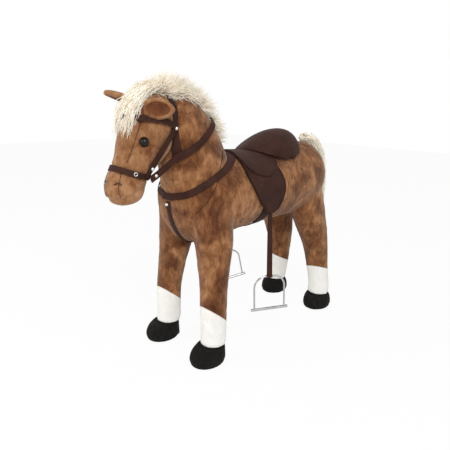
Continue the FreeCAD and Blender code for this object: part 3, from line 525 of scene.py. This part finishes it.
def leatherette(name, dark, light, grain, rough):
    material, tree, shader, place = start_material(name)
    worn = speckle(tree, place, 28.0, 4.0, 0.6)
    colour = colour_bands(tree, worn, [(0.3, dark), (0.72, light)])
    pebble = new_node(tree, "ShaderNodeTexVoronoi", {"Scale": grain, "Randomness": 1.0}, feature="F1")
    tree.links.new(place, pebble.inputs["Vector"])
    creases = speckle(tree, place, grain * 0.35, 3.0)
    # Painted shade: the colour darkens where the crease noise is low, down in the creases that the same
    # noise sinks into the bump.
    crease_shade = colour_bands(tree, creases, [(0.3, (0.78, 0.78, 0.78)), (0.7, (1.0, 1.0, 1.0))])
    tree.links.new(mixed(tree, 0.7, colour, crease_shade, "MULTIPLY"), shader.inputs["Base Color"])
    low_rough = (rough - 0.08,) * 3
    high_rough = (rough + 0.1,) * 3
    tree.links.new(
        colour_bands(tree, creases, [(0.3, high_rough), (0.7, low_rough)]), shader.inputs["Roughness"])
    shader.inputs["Specular IOR Level"].default_value = 0.12
    height = arithmetic(tree, "ADD", pebble.outputs["Distance"], creases)
    bumps(tree, shader, height, 0.3, 0.0004)
    return material


strap_leather = leatherette("strap_leather", (0.030, 0.0105, 0.0070), (0.058, 0.0215, 0.014), 900.0, 0.66)
saddle_leather = leatherette("saddle_leather", (0.030, 0.0105, 0.0072), (0.054, 0.020, 0.0135), 800.0, 0.60)


def finish(names, material):
    """Gives CAD pieces that stay as they are their own finish."""
    for name in names:
        mesh = nodes[name].data
        mesh.materials.clear()
        mesh.materials.append(material)


finish(bridle_names + strap_names, strap_leather)
finish(["stirrup_leather_left", "stirrup_leather_right"], strap_leather)
finish(["saddle_flap_left", "saddle_flap_right", "saddle_skirt_left", "saddle_skirt_right"], saddle_leather)

# ---- saddle seat ------------------------------------------------------------------------------
# A padded seat of the same leatherette, with a raised cantle at the back and drawn down to
# the withers in front. The pad is inflated a little, as foam pushes its cover out.
seat_sink = 0.0015            # room left for the foam to push out
puff_limit = 0.003
puff_frames = 12
seat = skin(["saddle_seat"], 0.0035, 9)
for vertex in seat.verts:
    vertex.co -= vertex.normal * seat_sink
rest_places = [vertex.co.copy() for vertex in seat.verts]
pad = as_piece(seat, "padded_seat", saddle_leather)
cloth = pad.modifiers.new("stuffing", "CLOTH")
cloth.settings.use_pressure = True
cloth.settings.uniform_pressure_force = 4.0
cloth.settings.effector_weights.gravity = 0.0
cloth.point_cache.frame_start = 1
cloth.point_cache.frame_end = puff_frames
for step in range(1, puff_frames + 1):
    bpy.context.scene.frame_set(step)
blown = bpy.data.meshes.new_from_object(pad.evaluated_get(bpy.context.evaluated_depsgraph_get()))
pad.modifiers.clear()
for vertex, place, swollen in zip(pad.data.vertices, rest_places, blown.vertices):
    move = swollen.co - place
    vertex.co = place + (move.normalized() * min(move.length, puff_limit) if move.length else move)
bpy.data.meshes.remove(blown)
bpy.context.scene.frame_set(1)
seat = bmesh.new()
seat.from_mesh(pad.data)
smoothed(seat, 1)
seat.normal_update()
seat.to_mesh(pad.data)
seat.free()
pad.data.shade_smooth()
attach(pad, "horse")
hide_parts("saddle_seat")

# ---- saddle edges -----------------------------------------------------------------------------
# Skirts and flaps are bound with a thin rolled edge along their free outline.
saddle_middle = (-0.0254, 0.433)
edge_lift = 0.0002
skirt_edge = [
    (0.081, 0.090), (0.0765, 0.072), (0.0405, 0.050), (0.000, 0.046), (-0.030, 0.0605),
    (-0.0515, 0.0835), (-0.0565, 0.102),
]
flap_edge = [
    (0.083, 0.082), (0.084, 0.042), (0.0595, -0.0065), (0.0285, -0.0435), (0.004, -0.0547),
    (-0.020, -0.0475), (-0.0405, -0.0245), (-0.050, 0.014), (-0.0435, 0.060),
]
for piece_name, edge in (("skirt", skirt_edge), ("flap", flap_edge)):
    rows = []
    for side_name, side in (("left", 1), ("right", -1)):
        edge_copy = merged_copy(["saddle_" + piece_name + "_" + side_name], 0.0)
        edge_tree = BVHTree.FromBMesh(edge_copy)
        edge_copy.free()
        row = []
        for ahead, _, above in soft_line([(a, 0, b) for a, b in edge]):
            start = Vector((saddle_middle[0] + ahead, side * 0.2, saddle_middle[1] + above))
            place = edge_tree.ray_cast(start, Vector((0, -side, 0)))[0]
            if place is not None:
                row.append(place + Vector((0, side * edge_lift, 0)))
        rows.append(row)
    piece = piping("saddle_" + piece_name + "_piping", rows, 0.0015, saddle_leather)

# ---- metal ------------------------------------------------------------------------------------
# Chromed wire stirrups, bright studs, eyelets and rivets. Inside the body a zinc-plated tube frame
# with bolts, nuts and foot plates carries the rider.


def metal(name, colour, rough, brushed):
    material, tree, shader, place = start_material(name)
    haze = speckle(tree, place, brushed, 3.0)
    dark = tuple(0.88 * part for part in colour)
    tree.links.new(colour_bands(tree, haze, [(0.3, dark), (0.7, colour)]), shader.inputs["Base Color"])
    low_rough = (rough * 0.7,) * 3
    high_rough = (rough * 1.3,) * 3
    tree.links.new(
        colour_bands(tree, haze, [(0.3, low_rough), (0.7, high_rough)]), shader.inputs["Roughness"])
    shader.inputs["Metallic"].default_value = 1.0
    return material


chrome = metal("stirrup_chrome", (0.50, 0.50, 0.51), 0.2, 60.0)
nickel = metal("stud_nickel", (0.72, 0.71, 0.69), 0.2, 90.0)
zinc = metal("zinc_plating", (0.55, 0.57, 0.60), 0.38, 45.0)
finish(["stirrup_iron_left", "stirrup_iron_right"], chrome)
finish(["strap_studs", "noseband_eyelets", "stirrup_rivets"], nickel)
finish(["front_leg_frame", "rear_leg_frame", "spine_tube", "neck_post", "frame_bolts", "frame_nuts"], zinc)

material, tree, shader, place = start_material("moulded_black")
cloud = speckle(tree, place, 200.0)
tree.links.new(
    colour_bands(tree, cloud, [(0.3, (0.012, 0.012, 0.013)), (0.7, (0.022, 0.022, 0.023))]),
    shader.inputs["Base Color"])
bumps(tree, shader, cloud, 0.2, 0.0003)
finish(["eye_washers", "foot_plates"], material)

material, tree, shader, place = start_material("board_plywood")
grain = speckle(tree, stretched(tree, place, (1.0, 14.0, 30.0)), 18.0, 5.0, 0.6, 0.4)
tree.links.new(
    colour_bands(tree, grain, [(0.3, (0.42, 0.26, 0.13)), (0.7, (0.66, 0.47, 0.28))]),
    shader.inputs["Base Color"])
bumps(tree, shader, grain, 0.2, 0.0003)
finish(["seat_board"], material)

# ---- eyes -------------------------------------------------------------------------------------
# Glossy black safety eyes, each in a ring of dark brown plush.
material, tree, shader, place = start_material("eye_gloss")
cloud = speckle(tree, place, 160.0, 2.0)
tree.links.new(
    colour_bands(tree, cloud, [(0.4, (0.004, 0.003, 0.003)), (0.7, (0.012, 0.006, 0.004))]),
    shader.inputs["Base Color"])
shader.inputs["Roughness"].default_value = 0.1
shader.inputs["Specular IOR Level"].default_value = 0.2
shader.inputs["Coat Weight"].default_value = 0.12
shader.inputs["Coat Roughness"].default_value = 0.05
finish(["eye_left", "eye_right"], material)
lid_stops = [(0.35, (0.050, 0.018, 0.009)), (0.65, (0.115, 0.045, 0.02))]
lid_plush = plush_material("lid_plush", lid_stops, fleck=200.0, pile=1200.0, sheen=0.1)
lid_radius = 0.0103
lid_steps = 32
lids = []
for side_name, side in (("left", 1), ("right", -1)):
    low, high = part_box("eye_" + side_name)
    eye_middle = (Vector(low) + Vector(high)) / 2
    looks = Vector((0.55, side * 0.835, 0.0))
    up = Vector((0, 0, 1))
    beside = looks.cross(up).normalized()
    ring = []
    for i in range(lid_steps + 1):
        turn = 2 * math.pi * i / lid_steps
        rim = eye_middle + beside * (lid_radius * math.cos(turn)) + up * (lid_radius * math.sin(turn))
        place_on, normal = head_tree.find_nearest(rim)[:2]
        ring.append(place_on + normal * 0.0006)
    lids.append(ring)
piece = piping("eye_rings", lids, 0.0014, lid_plush)

# ---- mane, forelock and tail ------------------------------------------------------------------
# Long cream pile with grey-brown streaks, in locks that grow from the crest of the neck, fall over
# the forehead and hang from the dock. Each lock is a thin curved taper; a soft core of the same
# pile lies under them.
cream_stops = [
    (0.20, (0.50, 0.36, 0.23)), (0.32, (0.82, 0.68, 0.50)), (0.44, (0.95, 0.86, 0.70)),
    (0.62, (0.98, 0.94, 0.84)),
]


def pile_material(name, stops):
    """Long pile: a shade for each lock, and darker streaks that run through them."""
    material, tree, shader, place = start_material(name)
    own = new_node(tree, "ShaderNodeAttribute", attribute_name="shade").outputs["Fac"]
    streak = speckle(tree, place, 34.0, 4.0, 0.6, 0.6)
    total = arithmetic(tree, "ADD", arithmetic(tree, "MULTIPLY", own, 0.45),
                       arithmetic(tree, "MULTIPLY", streak, 0.6))
    tree.links.new(colour_bands(tree, total, stops), shader.inputs["Base Color"])
    fine = speckle(tree, place, 900.0)
    tree.links.new(
        colour_bands(tree, fine, [(0.3, (0.55, 0.55, 0.55)), (0.7, (0.8, 0.8, 0.8))]),
        shader.inputs["Roughness"])
    shader.inputs["Sheen Weight"].default_value = 0.5
    shader.inputs["Sheen Roughness"].default_value = 0.4
    bumps(tree, shader, fine, 0.3, 0.0005)
    return material


cream_pile = pile_material("cream_pile", cream_stops)
lock_knots = 7
lock_sides = 4


def surface_points(name, count, dice):
    """Points spread evenly over a CAD piece, with the way out of it there."""
    shape = merged_copy([name], 0.0)
    bmesh.ops.triangulate(shape, faces=shape.faces)
    faces = list(shape.faces)
    areas = [face.calc_area() for face in faces]
    spots = []
    for face in dice.choices(faces, areas, k=count):
        a, b, c = (vertex.co for vertex in face.verts)
        u, v = dice.random(), dice.random()
        if u + v > 1:
            u, v = 1 - u, 1 - v
        spots.append((a + (b - a) * u + (c - a) * v, face.normal.copy()))
    shape.free()
    return spots


def locks_piece(name, locks, thickness, dice, body):
    """Tapered locks as one closed mesh, each with its shade and its own place on the map."""
    curve = bpy.data.curves.new(name, "CURVE")
    curve.dimensions = "3D"
    curve.bevel_depth = thickness / 2
    curve.bevel_resolution = 0
    curve.use_fill_caps = True
    for line in locks:
        spline = curve.splines.new("POLY")
        spline.points.add(lock_knots - 1)
        size = dice.uniform(0.7, 1.3)
        for i, (knot, point) in enumerate(zip(spline.points, line)):
            share = i / (lock_knots - 1)
            knot.co = (*point, 1.0)
            knot.radius = size * (1 - 0.85 * share ** 1.6)
    drawn = bpy.data.objects.new(name + "_line", curve)
    bpy.context.collection.objects.link(drawn)
    evaluated = drawn.evaluated_get(bpy.context.evaluated_depsgraph_get())
    mesh = bpy.data.meshes.new_from_object(evaluated)
    bpy.data.objects.remove(drawn)
    per_lock = len(mesh.vertices) // len(locks)
    shades = [dice.random() for _ in locks]
    attribute = mesh.attributes.new("shade", "FLOAT", "POINT")
    for vertex in mesh.vertices:
        attribute.data[vertex.index].value = shades[min(vertex.index // per_lock, len(locks) - 1)]
    while mesh.uv_layers:
        mesh.uv_layers.remove(mesh.uv_layers[0])
    layer = mesh.uv_layers.new(name="OFBake")
    columns = math.ceil(math.sqrt(len(locks)))
    for face in mesh.polygons:
        spots = [(index, mesh.loops[index].vertex_index) for index in face.loop_indices]
        sides = [vertex % per_lock % lock_sides for _, vertex in spots]
        wraps = 0 in sides and lock_sides - 1 in sides
        for (index, vertex), side in zip(spots, sides):
            lock = vertex // per_lock
            along = (vertex % per_lock // lock_sides) / (lock_knots - 1)
            around = (lock_sides if wraps and side == 0 else side) / lock_sides
            cell = (lock % columns + 0.05 + 0.9 * around, lock // columns + 0.05 + 0.9 * along)
            layer.uv[index].vector = (cell[0] / columns, cell[1] / columns)
    mesh.materials.clear()
    mesh.materials.append(cream_pile)
    mesh.shade_smooth()
    piece = bpy.data.objects.new(name, mesh)
    bpy.context.collection.objects.link(piece)
    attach(piece, body)


def pile_core(name, node_name, sink, body):
    """The soft root mass under the locks."""
    shape = skin([node_name], 0.004, 6, 0.0)
    for vertex in shape.verts:
        vertex.co -= vertex.normal * sink
    ruffle(shape, 0.012, 0.0022, 33.0)
    piece = as_piece(shape, name, cream_pile)
    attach(piece, body)
    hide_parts(node_name)


def scatter(dice, amount):
    return Vector((dice.gauss(0, amount), dice.gauss(0, amount), dice.gauss(0, amount)))


# Mane: every lock stands out from the skin to the outline, leans back and curls at its tip.
dice = random.Random(11)
skin_copy = bmesh.new()
skin_copy.from_mesh(hide.data)
skin_copy.from_mesh(face_hide.data)
skin_tree = BVHTree.FromBMesh(skin_copy)
skin_copy.free()
locks = []
for spot, out in surface_points("mane", 4200, dice):
    root = skin_tree.find_nearest(Vector((spot.x, 0.35 * spot.y, spot.z)))[0]
    if (spot - root).length < 0.008:
        continue
    tip = spot + out * 0.008 + scatter(dice, 0.007)
    way = tip - root
    lean = Vector((-0.012, 0.0, -0.004)) * (way.length / 0.04)
    bow = scatter(dice, 0.16 * way.length)
    line = []
    for i in range(lock_knots):
        t = i / (lock_knots - 1)
        sway = bow * math.sin(math.pi * t) * 0.6 + lean * t * t * (1 - 0.3 * t)
        line.append(root + way * t + sway)
    locks.append(line)
locks_piece("mane_locks", locks, 0.0019, dice, "horse")
pile_core("mane_roots", "mane", 0.007, "horse")


def flowing_locks(node_name, spine, count, before, after, tilt, wave, dice):
    """Locks that follow a spine, spread as the CAD piece is wide there."""
    line = soft_line(spine, 10)
    lengths = [0.0]
    for a, b in zip(line, line[1:]):
        lengths.append(lengths[-1] + (b - a).length)
    whole = lengths[-1]

    def at(distance):
        distance = max(0.0, distance)
        for i in range(len(line) - 1):
            if lengths[i + 1] >= distance:
                share = (distance - lengths[i]) / (lengths[i + 1] - lengths[i])
                return line[i].lerp(line[i + 1], share)
        over = distance - whole
        return line[-1] + (line[-1] - line[-2]).normalized() * over

    made = []
    for spot, out in surface_points(node_name, count, dice):
        nearest = min(range(len(line)), key=lambda i: (line[i] - spot).length)
        here = lengths[nearest]
        offset = spot - line[nearest] + out * tilt
        phase = dice.uniform(0, 2 * math.pi)
        swing = scatter(dice, wave)
        reach = after * dice.uniform(0.6, 1.2)
        lock = []
        for i in range(lock_knots):
            t = i / (lock_knots - 1)
            distance = here - before + t * (before + reach)
            spread = 0.62 + 0.38 * min(1.0, t * (before + reach) / before)
            curl = swing * math.sin(phase + 4.5 * t) * t
            lock.append(at(distance) + offset * spread + curl)
        made.append(lock)
    return made


# Forelock: from the poll over the brow, parted from the mane by the headpiece.
dice = random.Random(23)
forelock_spine = [
    (0.290, 0.0, 0.695), (0.316, 0.0, 0.684), (0.337, 0.0, 0.664), (0.352, 0.0, 0.642),
    (0.361, 0.0, 0.619), (0.366, 0.0, 0.601),
]
locks = flowing_locks("forelock", forelock_spine, 1500, 0.045, 0.022, 0.001, 0.006, dice)
locks_piece("forelock_locks", locks, 0.0018, dice, "horse")
pile_core("forelock_roots", "forelock", 0.004, "horse")

# Tail: hangs from the dock and lifts with it.
dice = random.Random(37)
tail_spine = [
    (-0.322, 0.0, 0.563), (-0.336, 0.0, 0.555), (-0.362, 0.0, 0.527), (-0.376, 0.0, 0.483),
    (-0.386, 0.0, 0.403), (-0.392, 0.0, 0.323), (-0.396, 0.0, 0.253), (-0.398, 0.0, 0.203),
]
locks = flowing_locks("tail", tail_spine, 2400, 0.085, 0.040, 0.001, 0.006, dice)
locks_piece("tail_locks", locks, 0.0021, dice, "tail")
pile_core("tail_roots", "tail", 0.006, "tail")

# ---- studio -----------------------------------------------------------------------------------
# A plain pale floor, a white surround, one large soft lamp over the camera's shoulder and a
# weaker one from the other side.
floor_shape = bmesh.new()
bmesh.ops.create_grid(floor_shape, x_segments=8, y_segments=8, size=6.0)
floor_material, tree, shader, place = start_material("floor_white")
cloud = speckle(tree, place, 3.0)
tree.links.new(
    colour_bands(tree, cloud, [(0.3, (0.90, 0.90, 0.90)), (0.7, (0.92, 0.92, 0.92))]),
    shader.inputs["Base Color"])
shader.inputs["Roughness"].default_value = 0.9
glow = new_node(tree, "ShaderNodeEmission", {"Color": (1, 1, 1, 1), "Strength": 1.0})
rays = new_node(tree, "ShaderNodeLightPath")
seen = arithmetic(tree, "MAXIMUM", rays.outputs["Is Camera Ray"], rays.outputs["Is Glossy Ray"])
blend = new_node(tree, "ShaderNodeMixShader")
floor_glow = 0.93
tree.links.new(arithmetic(tree, "MULTIPLY", seen, floor_glow), blend.inputs[0])
tree.links.new(shader.outputs[0], blend.inputs[1])
tree.links.new(glow.outputs[0], blend.inputs[2])
tree.links.new(blend.outputs[0], tree.nodes["Material Output"].inputs["Surface"])
floor = as_piece(floor_shape, "studio_floor", floor_material)

world = bpy.data.worlds.new("studio_world")
world.use_nodes = True
bpy.context.scene.world = world
tree = world.node_tree
background = tree.nodes["Background"]
background.inputs["Color"].default_value = (1, 1, 1, 1)
rays = new_node(tree, "ShaderNodeLightPath")
seen = arithmetic(tree, "MAXIMUM", rays.outputs["Is Camera Ray"], rays.outputs["Is Glossy Ray"])
seen = arithmetic(tree, "MAXIMUM", seen, rays.outputs["Is Transmission Ray"])
surround = 0.55
strength = arithmetic(tree, "ADD", arithmetic(tree, "MULTIPLY", seen, 1.0 - surround), surround)
tree.links.new(strength, background.inputs["Strength"])


def lamp(name, place, target, size, power):
    light = bpy.data.lights.new(name, "AREA")
    light.shape = "DISK"
    light.size = size
    light.energy = power
    lamp_object = bpy.data.objects.new(name, light)
    bpy.context.collection.objects.link(lamp_object)
    lamp_object.location = place
    lamp_object.rotation_euler = (Vector(target) - Vector(place)).to_track_quat("-Z", "Y").to_euler()


lamp("key_lamp", (1.3, 1.7, 2.1), (0.0, 0.0, 0.4), 1.3, 42.0)
lamp("fill_lamp", (1.8, -1.2, 1.2), (0.1, 0.0, 0.4), 1.4, 16.0)

# The camera stands in front of the horse's left shoulder, a little above its back.
azimuth = math.radians(134.4)
elevation = math.radians(15.3)
roll = math.radians(1.33)
camera_place = Vector((0.93016, 0.87023, 0.66822))
back = Vector((math.sin(azimuth) * math.cos(elevation), -math.cos(azimuth) * math.cos(elevation),
               math.sin(elevation)))
level = (-back).cross(Vector((0, 0, 1))).normalized()
upright = level.cross(-back)
right = level * math.cos(roll) + upright * math.sin(roll)
top = -level * math.sin(roll) + upright * math.cos(roll)
camera_data = bpy.data.cameras.new("camera")
camera_data.lens = 36.504
camera_data.sensor_width = 36.0
camera = bpy.data.objects.new("camera", camera_data)
bpy.context.collection.objects.link(camera)
camera.matrix_world = Matrix((
    (right.x, top.x, back.x, camera_place.x), (right.y, top.y, back.y, camera_place.y),
    (right.z, top.z, back.z, camera_place.z), (0, 0, 0, 1)))
bpy.context.scene.camera = camera
bpy.context.scene.view_settings.view_transform = "Standard"
